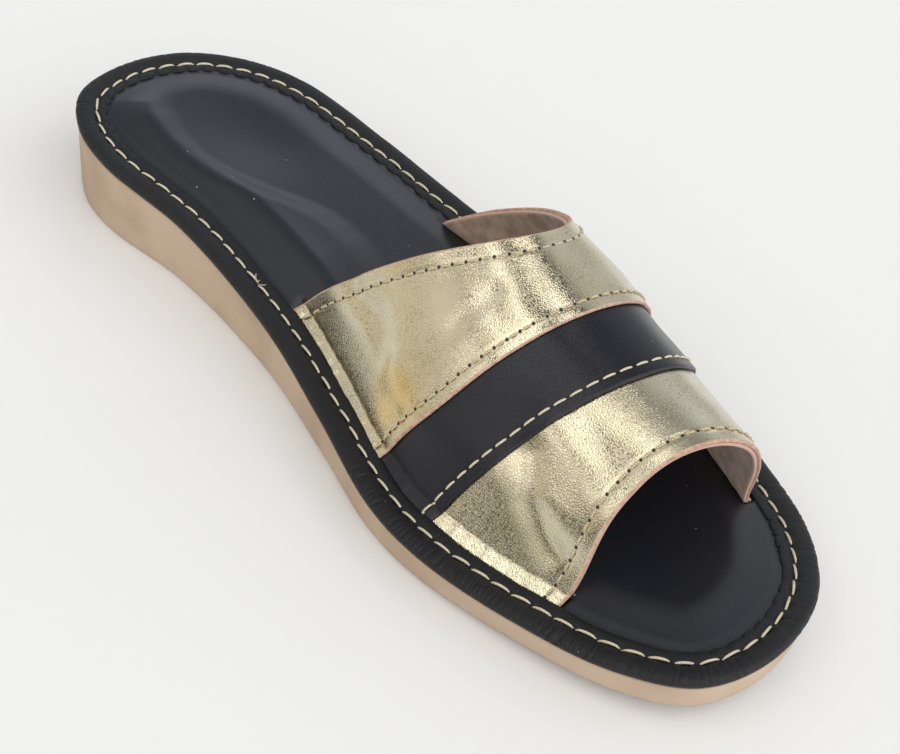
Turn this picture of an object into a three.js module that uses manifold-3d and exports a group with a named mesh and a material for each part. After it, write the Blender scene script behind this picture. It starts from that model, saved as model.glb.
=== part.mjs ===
// Open-toed leather slide for the left foot: a wedge sole, a padded insole, a stitched rim strip and
// an arched upper of three bands. Millimetres, +X to the toe, +Y to the wearer's left, +Z up, with the
// origin on the floor under the middle of the shoe's box. Inside the forms x runs from the heel.

import * as THREE from "three";
import Module from "manifold-3d";

// Driving sizes
const length = 260;
const ballWidth = 106;
const heelThickness = 24.7;
const foreThickness = 7.6;
const toeSpring = 6.5;
const toeSpringStart = 155;
const soleInset = 0.6;
const soleLean = 0.8;
const soleBevel = 0.6;
const stripWidth = 9.2;
const stripHeight = 3.1;
const stripLip = 0.8;
const insoleThickness = 5.6;
const insoleEdge = 2.9;
const insoleRoll = 13;
const upperWall = 2;
const bandWall = 0.8;
const instepRise = 49.9;
const seatFloor = 1.2;
const seatEndGap = 1.3;
const lapWidth = 8;
const lapRun = 18;
const clearance = 0.3;

// Facets
const stepsPerRow = 5;
const insoleSteps = 10;
const archSteps = 36;
const bandSteps = 5;

// Plan of the shoe, in rows from heel to toe: along as a share of the length, and the reach of the
// medial and the lateral side from the heel's axis as shares of the ball width
const planRows = [
  { along: 0.018, medial: 0.187, lateral: 0.18 },
  { along: 0.065, medial: 0.272, lateral: 0.313 },
  { along: 0.13, medial: 0.3, lateral: 0.391 },
  { along: 0.25, medial: 0.27, lateral: 0.426 },
  { along: 0.41, medial: 0.301, lateral: 0.456 },
  { along: 0.53, medial: 0.37, lateral: 0.516 },
  { along: 0.64, medial: 0.442, lateral: 0.535 },
  { along: 0.71, medial: 0.452, lateral: 0.512 },
  { along: 0.82, medial: 0.411, lateral: 0.43 },
  { along: 0.92, medial: 0.344, lateral: 0.307 },
  { along: 0.98, medial: 0.245, lateral: 0.143 },
];
const heelTipAcross = -0.002;
const toeTipAcross = -0.075;

// Wedge of the sole: what it adds to the toe's thickness, as shares of the heel's addition
const wedgeRows = [
  { along: 0, wedge: 1 },
  { along: 0.3, wedge: 0.57 },
  { along: 0.6, wedge: 0.086 },
  { along: 0.7, wedge: -0.012 },
  { along: 0.8, wedge: -0.066 },
  { along: 0.9, wedge: -0.057 },
  { along: 1, wedge: 0 },
];

// Section of the rim strip, from its outer foot over the roll and the stitch groove to its raw edge
const stripRows = [
  { inset: 0.05, height: 0 },
  { inset: 0, height: 0.34 },
  { inset: 0.05, height: 0.68 },
  { inset: 0.19, height: 0.93 },
  { inset: 0.36, height: 1 },
  { inset: 0.52, height: 0.9 },
  { inset: 0.63, height: 0.7 },
  { inset: 0.76, height: stripLip },
  { inset: 0.94, height: 0.75 },
  { inset: 1, height: 0.62 },
  { inset: 1, height: 0 },
];

// Hills and hollows of the insole: place as shares of length and ball width, height and the two
// spreads as shares of the insole's thickness, the length and the ball width
const insoleRows = [
  { along: 0.15, across: 0.06, height: -0.3, spreadAlong: 0.09, spreadAcross: 0.2 },
  { along: 0.4, across: -0.2, height: 0.62, spreadAlong: 0.13, spreadAcross: 0.13 },
  { along: 0.53, across: 0.08, height: 0.3, spreadAlong: 0.07, spreadAcross: 0.16 },
  { along: 0.73, across: 0.04, height: -0.16, spreadAlong: 0.09, spreadAcross: 0.26 },
];

// Sections of the last inside the upper: rise as a share of the instep's, fullness as the power that
// rounds the arch
const lastRows = [
  { along: 0.4, rise: 1.31, fullness: 0.87 },
  { along: 0.59, rise: 1.02, fullness: 0.807 },
  { along: 0.68, rise: 0.862, fullness: 0.782 },
  { along: 0.76, rise: 0.79, fullness: 0.755 },
  { along: 0.87, rise: 0.735, fullness: 0.72 },
];
const lastSkew = 1.2;

// Edges of the bands across the arch, all as shares of the length: the two corners, then how far the
// line bows to the toe, leans to the lateral side, squares its shoulders and twists
const edgeRows = {
  rear: { medial: 0.407, lateral: 0.387, bow: 0.205, lean: 0.093, square: -0.011, twist: -0.016 },
  rearBandFront: { medial: 0.603, lateral: 0.647, bow: 0.062, lean: 0.011, square: 0, twist: 0.036 },
  middleBandFront: { medial: 0.69, lateral: 0.714, bow: 0.064, lean: 0.034, square: 0.001, twist: 0.013 },
  front: { medial: 0.836, lateral: 0.855, bow: 0.011, lean: 0.034, square: -0.002, twist: 0.041 },
};

/** Value of one column at a place along, on a smooth curve through the rows. */
function column(rows, name, along) {
  const last = rows.length - 1;
  const slope = (i) => {
    const low = rows[Math.max(i - 1, 0)];
    const high = rows[Math.min(i + 1, last)];
    return (high[name] - low[name]) / (high.along - low.along);
  };
  let i = 0;
  while (i < last - 1 && along > rows[i + 1].along) i += 1;
  const span = rows[i + 1].along - rows[i].along;
  const t = (along - rows[i].along) / span;
  const rest = 1 - t;
  const start = rows[i][name] + (2 * rows[i][name] + span * slope(i)) * t;
  const end = rows[i + 1][name] + (2 * rows[i + 1][name] - span * slope(i + 1)) * rest;
  return start * rest * rest + end * t * t;
}

/** Soft step from 0 to 1 as t runs from 0 to 1. */
function softStep(t) {
  return THREE.MathUtils.smoothstep(t, 0, 1);
}

// Plan outline as one closed curve: heel tip, medial side to the toe tip, lateral side back
function planPoint(along, across) {
  return new THREE.Vector3(along * length, across * ballWidth, 0);
}
const planCurve = new THREE.CatmullRomCurve3(
  [
    planPoint(0, heelTipAcross),
    ...planRows.map((row) => planPoint(row.along, -row.medial)),
    planPoint(1, toeTipAcross),
    ...planRows.map((row) => planPoint(row.along, row.lateral)).reverse(),
  ],
  true,
  "centripetal",
);
const sideSteps = stepsPerRow * (planRows.length + 1);
const loopSteps = 2 * sideSteps;

/** Loop of plan points that runs inside the outline by the given distance. */
function planLoop(inset) {
  return Array.from({ length: loopSteps }, (_, i) => {
    const point = planCurve.getPoint(i / loopSteps);
    const tangent = planCurve.getTangent(i / loopSteps);
    return new THREE.Vector3(point.x - tangent.y * inset, point.y + tangent.x * inset, 0);
  });
}

/** Underside of the sole: flat from the heel to the ball, then up to the toe. */
function underside(x) {
  const reach = Math.max(x - toeSpringStart, 0) / (length - toeSpringStart);
  return toeSpring * reach * reach;
}

/** Top of the sole, on which strip and insole lie. */
function soleTop(x) {
  const wedge = column(wedgeRows, "wedge", x / length);
  return underside(x) + foreThickness + (heelThickness - foreThickness) * wedge;
}

/** Geometry of the points and triangles, with its faces turned outwards. */
function solidGeometry(points, triangles) {
  let volume = 0;
  for (const [a, b, c] of triangles) {
    volume += points[a].dot(new THREE.Vector3().crossVectors(points[b], points[c]));
  }
  const turned = volume < 0 ? triangles.map(([a, b, c]) => [a, c, b]) : triangles;
  const geometry = new THREE.BufferGeometry();
  geometry.setFromPoints(points);
  geometry.setIndex(turned.flat());
  return geometry;
}

/** Slab inside a stack of loops: walls between the loops, and rungs from side to side that close its
 * top and bottom. Each loop gives its inset and its height over a plan point; the first one's rungs
 * are split in the given steps, each point at the height that top gives. */
function slabGeometry(loops, rungSteps, top) {
  const points = [];
  const triangles = [];
  for (const { inset, height } of loops) {
    for (const point of planLoop(inset)) {
      point.z = height(point);
      points.push(point);
    }
  }
  for (let ring = 0; ring + 1 < loops.length; ring += 1) {
    for (let i = 0; i < loopSteps; i += 1) {
      const next = (i + 1) % loopSteps;
      const [a, b] = [ring * loopSteps + i, ring * loopSteps + next];
      triangles.push([a, b, b + loopSteps], [a, b + loopSteps, a + loopSteps]);
    }
  }
  const closeWithRungs = (start, steps, turn) => {
    const rungs = [];
    for (let i = 0; i <= sideSteps; i += 1) {
      const [from, to] = [start + i, start + ((loopSteps - i) % loopSteps)];
      const rung = [from];
      for (let k = 1; k < steps && from !== to; k += 1) {
        const point = new THREE.Vector3().lerpVectors(points[from], points[to], k / steps);
        point.z = top(point, Math.min(k, steps - k) / steps * points[from].distanceTo(points[to]));
        rung.push(points.push(point) - 1);
      }
      if (from !== to) rung.push(to);
      rungs.push(rung);
    }
    for (let i = 0; i < sideSteps; i += 1) {
      for (let k = 0; k < steps; k += 1) {
        const at = (rung, j) => rung[Math.min(j, rung.length - 1)];
        const quad = [at(rungs[i], k), at(rungs[i + 1], k), at(rungs[i + 1], k + 1), at(rungs[i], k + 1)];
        const halves = [[quad[0], quad[2], quad[1]], [quad[0], quad[3], quad[2]]];
        for (const [a, b, c] of halves) {
          if (a !== b && b !== c && c !== a) triangles.push(turn ? [a, c, b] : [a, b, c]);
        }
      }
    }
  };
  closeWithRungs(0, rungSteps, false);
  closeWithRungs((loops.length - 1) * loopSteps, 1, true);
  return solidGeometry(points, triangles);
}

// Outsole: one wedge whose side leans in a little and ends in a small bevel
function outsoleGeometry() {
  const edgeLoops = [
    { inset: soleInset, height: (point) => soleTop(point.x) },
    { inset: soleInset + soleLean, height: (point) => underside(point.x) + soleBevel },
    { inset: soleInset + soleLean + soleBevel, height: (point) => underside(point.x) },
  ];
  return slabGeometry(edgeLoops, 1);
}

// Rim strip: leather rolled over the edge of the footbed, as one ring with its own section
function rimStripGeometry() {
  const points = [];
  const triangles = [];
  const count = stripRows.length;
  for (const row of stripRows) {
    for (const point of planLoop(row.inset * stripWidth)) {
      point.z = soleTop(point.x) + clearance + row.height * stripHeight;
      points.push(point);
    }
  }
  for (let ring = 0; ring < count; ring += 1) {
    for (let i = 0; i < loopSteps; i += 1) {
      const next = (i + 1) % loopSteps;
      const inner = (ring + 1) % count;
      const [a, b] = [ring * loopSteps + i, ring * loopSteps + next];
      const [c, d] = [inner * loopSteps + next, inner * loopSteps + i];
      triangles.push([a, b, c], [a, c, d]);
    }
  }
  return solidGeometry(points, triangles);
}

/** Height of the insole's skin over the sole, at a plan point that lies this far from the edge. */
function insoleSkin(point, fromEdge) {
  const roll = softStep(Math.min(fromEdge / insoleRoll, 1));
  let hills = 0;
  for (const row of insoleRows) {
    const dx = (point.x / length - row.along) / row.spreadAlong;
    const dy = (point.y / ballWidth - row.across) / row.spreadAcross;
    hills += row.height * Math.exp(-dx * dx - dy * dy);
  }
  return insoleEdge + (insoleThickness - insoleEdge + insoleThickness * hills) * roll;
}

function insoleGeometry() {
  const inset = stripWidth + clearance;
  const bed = (point) => soleTop(point.x) + clearance;
  const edgeLoops = [
    { inset, height: (point) => bed(point) + insoleEdge },
    { inset, height: bed },
  ];
  return slabGeometry(edgeLoops, insoleSteps, (point, fromEdge) => bed(point) + insoleSkin(point, fromEdge));
}

// Last inside the upper: its foot lines run inside the strip by the wall and the clearance
const footLoop = planLoop(stripWidth + clearance + upperWall);
const footLines = {
  medial: footLoop.slice(0, sideSteps + 1),
  lateral: [footLoop[0], ...footLoop.slice(sideSteps).reverse()],
};

/** Reach across of one foot line at x. */
function footAcross(side, x) {
  const line = footLines[side];
  let i = 0;
  while (i < line.length - 2 && x > line[i + 1].x) i += 1;
  const t = (x - line[i].x) / (line[i + 1].x - line[i].x);
  return THREE.MathUtils.lerp(line[i].y, line[i + 1].y, t);
}

/** Height of the last's foot lines, on the seat in the insole. */
function footHeight(x) {
  return soleTop(x) + 2 * clearance + seatFloor;
}

/** Point on the last at x, a share u of the way from the medial to the lateral foot line. */
function lastPoint(x, u) {
  const share = THREE.MathUtils.clamp(u, 0, 1);
  const along = x / length;
  const swell = Math.max(Math.sin(Math.PI * share ** lastSkew), 0) ** column(lastRows, "fullness", along);
  const across = THREE.MathUtils.lerp(footAcross("medial", x), footAcross("lateral", x), share);
  const rise = instepRise * column(lastRows, "rise", along);
  return new THREE.Vector3(x, across, footHeight(x) + rise * swell);
}

/** Place along of an edge of a band at the share u of the arch. */
function edgeAlong(edge, u) {
  const hump = 4 * u * (1 - u);
  const side = 2 * u - 1;
  const corners = THREE.MathUtils.lerp(edge.medial, edge.lateral, u);
  const shape = edge.bow * hump + edge.lean * hump * side + edge.square * hump * (hump - 0.7);
  return length * (corners + shape + edge.twist * hump * side * (hump - 0.6));
}

// Shares of the arch: the reach for a slope, and the foot over which the wall turns level
const slopeReach = 0.01;
const levelShare = 0.06;

/** Point off the last by the given distance, square to it, but level where the wall stands on its
 * foot lines. */
function raisedPoint(x, u, distance) {
  const here = lastPoint(x, u);
  const low = Math.max(u - slopeReach, 0);
  const high = Math.min(u + slopeReach, 1);
  const across = lastPoint(x, high).sub(lastPoint(x, low));
  const step = slopeReach * length;
  const ahead = lastPoint(x + step, u).sub(lastPoint(x - step, u));
  const normal = ahead.cross(across).normalize();
  const level = new THREE.Vector3(0, u < 0.5 ? -1 : 1, 0);
  const onFoot = 1 - softStep(Math.min(Math.min(u, 1 - u) / levelShare, 1));
  normal.lerp(level, onFoot).normalize();
  return here.addScaledVector(normal, distance);
}

/** Share of the arch at which the line x(u) has risen this far over its foot, from either side. */
function shareAtRise(alongOf, rise, side) {
  let [low, high] = [0, 0.5];
  for (let pass = 0; pass < 30; pass += 1) {
    const middle = (low + high) / 2;
    const u = side === "medial" ? middle : 1 - middle;
    const x = alongOf(u);
    if (lastPoint(x, u).z - footHeight(x) < rise) low = middle;
    else high = middle;
  }
  return side === "medial" ? high : 1 - high;
}

/** Wall over the arch between two edges. Each row across runs from foot to foot, or between the two
 * places that have risen by footRise; inner and outer give the distance off the last by the distance
 * to the front edge; the gaps move the two ends, and footDrop lowers the feet. */
function wallGeometry({ from, to, rows, footRise, inner, outer, startGap, endGap, footDrop }) {
  const points = [];
  const triangles = [];
  for (const layer of [inner, outer]) {
    for (let row = 0; row <= rows; row += 1) {
      const v = row / rows;
      const alongOf = (u) => {
        const start = edgeAlong(from, u) + startGap;
        return THREE.MathUtils.lerp(start, edgeAlong(to, u) + endGap, v);
      };
      const first = footRise > 0 ? shareAtRise(alongOf, footRise, "medial") : 0;
      const last = footRise > 0 ? shareAtRise(alongOf, footRise, "lateral") : 1;
      for (let k = 0; k <= archSteps; k += 1) {
        const even = 0.5 - 0.5 * Math.cos((Math.PI * k) / archSteps);
        const u = THREE.MathUtils.lerp(first, last, 0.5 * even + (0.5 * k) / archSteps);
        const x = alongOf(u);
        const point = raisedPoint(x, u, layer(edgeAlong(to, u) + endGap - x));
        if (k === 0 || k === archSteps) point.z -= footDrop;
        points.push(point);
      }
    }
  }
  const across = archSteps + 1;
  const layerSize = (rows + 1) * across;
  const quad = (a, b, c, d) => triangles.push([a, b, c], [a, c, d]);
  for (let row = 0; row < rows; row += 1) {
    for (let k = 0; k < archSteps; k += 1) {
      const a = row * across + k;
      quad(a, a + 1, a + across + 1, a + across);
      const b = a + layerSize;
      quad(b, b + across, b + across + 1, b + 1);
    }
    const [left, right] = [row * across, row * across + archSteps];
    quad(left, left + across, left + across + layerSize, left + layerSize);
    quad(right, right + layerSize, right + across + layerSize, right + across);
  }
  for (let k = 0; k < archSteps; k += 1) {
    const back = rows * across + k;
    quad(k, k + layerSize, k + layerSize + 1, k + 1);
    quad(back, back + 1, back + layerSize + 1, back + layerSize);
  }
  return solidGeometry(points, triangles);
}

// Upper: one wall from the rear edge to the front opening, whose front third is the front band
const upperForm = {
  from: edgeRows.rear,
  to: edgeRows.front,
  rows: 3 * bandSteps,
  footRise: 0,
  inner: () => 0,
  outer: () => upperWall,
  startGap: 0,
  endGap: 0,
  footDrop: 0,
};

// Bands: they lie on the upper and end just over the strip's raw edge
const onUpper = upperWall + clearance;
const bandFootRise = stripLip * stripHeight - seatFloor;
const middleBandForm = {
  from: edgeRows.rearBandFront,
  to: edgeRows.middleBandFront,
  rows: bandSteps,
  footRise: bandFootRise,
  inner: () => onUpper,
  outer: () => onUpper + bandWall,
  startGap: -lapWidth,
  endGap: 0,
  footDrop: 0,
};

/** Lift of the rear band where it laps over the middle band, by the distance to its front edge. */
function lapLift(toEdge) {
  const ramp = softStep(THREE.MathUtils.clamp((toEdge - lapWidth - clearance) / lapRun, 0, 1));
  return (bandWall + clearance) * (1 - ramp);
}
const rearBandForm = {
  from: edgeRows.rear,
  to: edgeRows.rearBandFront,
  rows: 2 * bandSteps,
  footRise: bandFootRise,
  inner: (toEdge) => onUpper + lapLift(toEdge),
  outer: (toEdge) => onUpper + bandWall + lapLift(toEdge),
  startGap: 0,
  endGap: 0,
  footDrop: 0,
};

// Seat of the upper in the insole: the upper's own form, wider by the clearance below and inside,
// longer by a gap before and behind its slanted ends, and open to the strip
const seatForm = {
  ...upperForm,
  inner: () => -clearance,
  outer: () => upperWall + stripWidth / 2,
  startGap: -seatEndGap,
  endGap: seatEndGap,
  footDrop: clearance,
};

const wasm = await Module();
wasm.setup();

/** Solid of a closed geometry, ready for cuts. */
function toSolid(geometry) {
  const vertProperties = new Float32Array(geometry.getAttribute("position").array);
  const triVerts = new Uint32Array(geometry.getIndex().array);
  return new wasm.Manifold(new wasm.Mesh({ numProp: 3, vertProperties, triVerts }));
}

/** Geometry of a cut solid. */
function toGeometry(solid) {
  const mesh = solid.getMesh();
  const geometry = new THREE.BufferGeometry();
  geometry.setAttribute("position", new THREE.BufferAttribute(new Float32Array(mesh.vertProperties), 3));
  geometry.setIndex(Array.from(mesh.triVerts));
  return geometry;
}

const insoleSolid = toSolid(insoleGeometry()).subtract(toSolid(wallGeometry(seatForm)));

// The whole shoe, moved so that the middle of its plan lies over the origin
const slide = new THREE.Group();
const planBox = new THREE.Box3().setFromPoints(planLoop(0));
slide.position.copy(planBox.getCenter(new THREE.Vector3()).negate());

/** Adds one named piece with its finish. */
function addPiece(name, geometry, color, roughness, metalness) {
  const mesh = new THREE.Mesh(geometry, new THREE.MeshStandardMaterial({ color, roughness, metalness }));
  mesh.name = name;
  slide.add(mesh);
}
addPiece("outsole", outsoleGeometry(), 0xbca389, 0.9, 0);
addPiece("rim_strip", rimStripGeometry(), 0x1d1e21, 0.5, 0);
addPiece("insole", toGeometry(insoleSolid), 0x1a1c20, 0.4, 0);
addPiece("upper", wallGeometry(upperForm), 0xb9ad8a, 0.35, 0.8);
addPiece("middle_band", wallGeometry(middleBandForm), 0x1a1c20, 0.4, 0);
addPiece("rear_band", wallGeometry(rearBandForm), 0xb9ad8a, 0.35, 0.8);

const shoe = new THREE.Group();
shoe.add(slide);

export default shoe;
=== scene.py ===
import math

import bpy
import numpy as np
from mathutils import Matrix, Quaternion, Vector


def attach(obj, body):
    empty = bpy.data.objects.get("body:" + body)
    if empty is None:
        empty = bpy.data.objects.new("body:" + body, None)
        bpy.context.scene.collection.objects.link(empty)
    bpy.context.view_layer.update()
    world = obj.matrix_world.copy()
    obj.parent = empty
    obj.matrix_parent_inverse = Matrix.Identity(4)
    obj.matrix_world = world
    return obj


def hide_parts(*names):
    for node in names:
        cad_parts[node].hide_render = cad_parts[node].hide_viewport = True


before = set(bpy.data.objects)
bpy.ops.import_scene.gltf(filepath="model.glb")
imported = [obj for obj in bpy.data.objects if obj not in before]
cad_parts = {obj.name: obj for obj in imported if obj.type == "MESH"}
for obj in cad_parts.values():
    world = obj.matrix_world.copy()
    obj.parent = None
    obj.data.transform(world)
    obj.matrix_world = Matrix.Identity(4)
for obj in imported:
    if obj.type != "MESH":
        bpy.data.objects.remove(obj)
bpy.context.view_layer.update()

# The camera stands before the toe, on the inner side, and looks down on the shoe as the
# photograph's does. Its roll keeps the tilt of that picture.
camera_place = Vector((0.2373, -0.2582, 0.3123))
camera_aim = Vector((0.0218, -0.0126, 0.020))
camera_roll = math.radians(9.42)
camera_lens = 69.5
camera = bpy.data.objects.new("camera", bpy.data.cameras.new("camera"))
bpy.context.scene.collection.objects.link(camera)
camera.data.lens = camera_lens
camera.location = camera_place
level_turn = (camera_aim - camera_place).to_track_quat("-Z", "Y")
camera.rotation_mode = "QUATERNION"
camera.rotation_quaternion = level_turn @ Quaternion((0, 0, 1), camera_roll)
bpy.context.scene.camera = camera

# The outsole is one block of beige foamed rubber, cut to the shoe's outline: thick at the heel, thin at
# the ball, with a little toe spring. Its side leans in, and its underside has shallow ribs across.
length = 260.0
ball_width = 106.0
plan = {
    "along": [0.018, 0.065, 0.13, 0.25, 0.41, 0.53, 0.64, 0.71, 0.82, 0.92, 0.98],
    "medial": [0.187, 0.272, 0.3, 0.27, 0.301, 0.37, 0.442, 0.452, 0.411, 0.344, 0.245],
    "lateral": [0.18, 0.313, 0.391, 0.426, 0.456, 0.516, 0.535, 0.512, 0.43, 0.307, 0.143],
}
heel_tip_across = -0.002
toe_tip_across = -0.075
wedge_rows = {"along": [0, 0.3, 0.6, 0.7, 0.8, 0.9, 1], "wedge": [1, 0.57, 0.086, -0.012, -0.066, -0.057, 0]}
heel_thickness = 24.7
fore_thickness = 7.6
toe_spring = 6.5
toe_spring_start = 155.0
sole_edge = {
    "inset": [0.6, 0.65, 0.75, 0.92, 1.08, 1.25, 1.4, 1.6, 2.0],
    "height": [1, 0.9, 0.72, 0.5, 0.3, 0.12, 0.05, 0.02, 0],
}
rib_pitch = 4.2
rib_depth = 0.55
rib_wave = 1.6
rib_wave_length = 24.0
rib_margin = 5.0
bare_waist = {"along": 0.36, "half": 0.06}
sole_color = (0.50, 0.385, 0.28, 1)
sole_shade = (0.42, 0.31, 0.22, 1)

medial_side = [(a, -m) for a, m in zip(plan["along"], plan["medial"])]
lateral_side = [(a, r) for a, r in zip(plan["along"], plan["lateral"])]
plan_corners = [(0, heel_tip_across), *medial_side, (1, toe_tip_across), *reversed(lateral_side)]
plan_corners = np.array(plan_corners) * (length, ball_width)


def plan_line(shares):
    """Outline in plan at shares of the way round, from the heel tip along the inner side to the toe tip
    and back. It is a closed cubic through the corners, with slopes weighted by the roots of the
    distances between them. Gives the points and the directions that point inwards."""
    place = np.mod(shares, 1) * len(plan_corners)
    first = np.floor(place).astype(int)
    t = (place - first)[..., None]
    p0, p1, p2, p3 = (plan_corners[(first + k) % len(plan_corners)] for k in (-1, 0, 1, 2))
    d0, d1, d2 = (np.sqrt(np.linalg.norm(b - a, axis=-1))[..., None] for a, b in ((p0, p1), (p1, p2), (p2, p3)))
    leave = ((p1 - p0) / d0 - (p2 - p0) / (d0 + d1) + (p2 - p1) / d1) * d1
    arrive = ((p2 - p1) / d1 - (p3 - p1) / (d1 + d2) + (p3 - p2) / d2) * d1
    bend = 3 * (p2 - p1) - 2 * leave - arrive
    twist = 2 * (p1 - p2) + leave + arrive
    point = p1 + leave * t + bend * t**2 + twist * t**3
    tangent = leave + 2 * bend * t + 3 * twist * t**2
    tangent /= np.linalg.norm(tangent, axis=-1)[..., None]
    return point, np.stack([-tangent[..., 1], tangent[..., 0]], -1)


def inset_line(shares, inset):
    """Plan points that lie inside the outline by the inset."""
    point, inward = plan_line(shares)
    return point + inward * np.asarray(inset)[..., None]


def even_shares(count, inset):
    """Shares round the outline whose inset points lie at equal steps, and the line's length."""
    fine = np.linspace(0, 1, 6001)
    line = inset_line(fine, inset)
    run = np.concatenate([[0], np.cumsum(np.linalg.norm(np.diff(line, axis=0), axis=1))])
    return np.interp(np.arange(count) / count * run[-1], run, fine), run[-1]


def column(rows, name, along):
    """Value of a column at places along: cubic spans through the rows, whose slope at a row is that of
    the line between its neighbours."""
    x = np.array(rows["along"], float)
    y = np.array(rows[name], float)
    rank = np.arange(len(x))
    low = np.maximum(rank - 1, 0)
    high = np.minimum(rank + 1, len(x) - 1)
    slope = (y[high] - y[low]) / (x[high] - x[low])
    i = np.searchsorted(x[1:-1], along)
    span = x[i + 1] - x[i]
    t = (along - x[i]) / span
    start = y[i] + (2 * y[i] + span * slope[i]) * t
    end = y[i + 1] + (2 * y[i + 1] - span * slope[i + 1]) * (1 - t)
    return start * (1 - t) ** 2 + end * t**2


def soft_step(t):
    """Soft step from 0 to 1 as t runs from 0 to 1: 3t² - 2t³."""
    t = np.clip(t, 0, 1)
    return t * t * (3 - 2 * t)


def underside(x):
    """Height of the sole's underside: flat to the ball, then rising with the square of the way to the toe."""
    return toe_spring * (np.maximum(x - toe_spring_start, 0) / (length - toe_spring_start)) ** 2


def sole_top(x):
    """Height of the sole's top, where strip and insole lie: underside, forefoot thickness and wedge."""
    wedge = column(wedge_rows, "wedge", x / length)
    return underside(x) + fore_thickness + (heel_thickness - fore_thickness) * wedge


outline = plan_line(np.linspace(0, 1, 1200, endpoint=False))[0]
plan_middle = np.append((outline.min(0) + outline.max(0)) / 2, 0)


def outward_faces(points, faces):
    """The faces in one list, turned over together if their closed surface holds a negative volume."""
    volume = 0
    for block in faces:
        for k in range(1, block.shape[1] - 1):
            a, b, c = points[block[:, 0]], points[block[:, k]], points[block[:, k + 1]]
            volume += np.einsum("ij,ij->", a, np.cross(b, c))
    return [block[:, ::-1] for block in faces] if volume < 0 else faces


def add_piece(name, points, faces, material, maps=None, values=None):
    """Makes a smooth mesh of points in millimetres, and blocks of triangles and quads, that rides on the
    shoe. maps holds one pair of numbers a point for each UV map, values one number a point."""
    faces = outward_faces(points, [block for block in faces if len(block)])
    corners = np.concatenate([block.ravel() for block in faces])
    sizes = np.concatenate([np.full(len(block), block.shape[1]) for block in faces])
    mesh = bpy.data.meshes.new(name)
    mesh.vertices.add(len(points))
    mesh.vertices.foreach_set("co", ((points - plan_middle) / 1000).ravel())
    mesh.loops.add(len(corners))
    mesh.loops.foreach_set("vertex_index", corners)
    mesh.polygons.add(len(sizes))
    mesh.polygons.foreach_set("loop_start", np.cumsum(sizes) - sizes)
    mesh.polygons.foreach_set("use_smooth", np.ones(len(sizes), bool))
    mesh.update(calc_edges=True)
    for map_name, pairs in (maps or {}).items():
        layer = mesh.uv_layers.new(name=map_name)
        layer.data.foreach_set("uv", pairs[corners].ravel())
    for value_name, numbers in (values or {}).items():
        mesh.attributes.new(value_name, "FLOAT", "POINT").data.foreach_set("value", numbers)
    mesh.materials.append(material)
    piece = bpy.data.objects.new(name, mesh)
    bpy.context.scene.collection.objects.link(piece)
    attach(piece, "root")
    return piece


def ring_faces(rings, count, close=False):
    """Quads between rings of count points each, one after another, and back to the first if they close."""
    ring = np.arange(rings if close else rings - 1)[:, None]
    after = (ring + 1) % rings
    i = np.arange(count)[None]
    j = (i + 1) % count
    quads = [ring * count + i, ring * count + j, after * count + j, after * count + i]
    return np.stack(quads, -1).reshape(-1, 4)


def rung_sheet(first, count, steps, start):
    """Triangles of a sheet of rungs across a loop of count points that begins at index first. Inner
    points begin at index start, steps - 1 for each rung."""
    half = count // 2
    rank = np.arange(half + 1)
    index = np.empty((half + 1, steps + 1), int)
    index[:, 0] = first + rank
    index[:, steps] = first + (count - rank) % count
    inner = start + np.arange((half - 1) * (steps - 1)).reshape(half - 1, steps - 1)
    index[1:half, 1:steps] = inner
    index[0] = first
    index[half] = first + half
    a, b, c, d = index[:-1, :-1], index[1:, :-1], index[1:, 1:], index[:-1, 1:]
    triangles = np.concatenate([np.stack([a, c, b], -1), np.stack([a, d, c], -1)]).reshape(-1, 3)
    whole = (triangles[:, 0] != triangles[:, 1]) & (triangles[:, 1] != triangles[:, 2])
    return triangles[whole & (triangles[:, 2] != triangles[:, 0])]


def rung_points(ring, steps):
    """Plan points on the rungs between the two sides of a loop, closer together near the edge."""
    half = len(ring) // 2
    t = np.arange(1, steps) / steps
    t = (0.6 * t + 0.4 * (0.5 - 0.5 * np.cos(np.pi * t)))[None, :, None]
    left = ring[1:half, None, :2]
    right = ring[:half:-1, None, :2]
    return ((1 - t) * left + t * right).reshape(-1, 2)


def distance_to_line(points, line):
    """Distance from each point to the nearest place on a line of straight pieces."""
    nearest = np.full(len(points), 1e9)
    for start, end in zip(line[:-1], line[1:]):
        way = end - start
        t = np.clip((points - start) @ way / max(way @ way, 1e-12), 0, 1)
        nearest = np.minimum(nearest, np.linalg.norm(points - start - t[:, None] * way, axis=1))
    return nearest


def add_node(tree, kind, sockets=None, **settings):
    """Adds a shader node. settings are its own, sockets its inputs by name or number: values or outputs."""
    made = tree.nodes.new(kind)
    for name, value in settings.items():
        setattr(made, name, value)
    for name, value in (sockets or {}).items():
        if isinstance(value, bpy.types.NodeSocket):
            tree.links.new(value, made.inputs[name])
        else:
            made.inputs[name].default_value = value
    return made


def new_finish(name, **plain):
    """A material with its Principled shader, whose plain sockets get one value each."""
    material = bpy.data.materials.new(name)
    material.use_nodes = True
    shader = material.node_tree.nodes["Principled BSDF"]
    for socket, value in plain.items():
        shader.inputs[socket.replace("_", " ")].default_value = value
    return material, material.node_tree, shader


def new_effect(name, inputs, outputs):
    """A node group with named inputs and outputs. Gives its tree, its input node and its output node."""
    tree = bpy.data.node_groups.new(name, "ShaderNodeTree")
    for socket, kind, value in inputs:
        made = tree.interface.new_socket(socket, in_out="INPUT", socket_type=kind)
        if value is not None:
            made.default_value = value
    for socket, kind in outputs:
        tree.interface.new_socket(socket, in_out="OUTPUT", socket_type=kind)
    return tree, tree.nodes.new("NodeGroupInput"), tree.nodes.new("NodeGroupOutput")


def object_place(tree):
    """Output with the place on the piece, in metres."""
    return add_node(tree, "ShaderNodeTexCoord").outputs["Object"]


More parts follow.
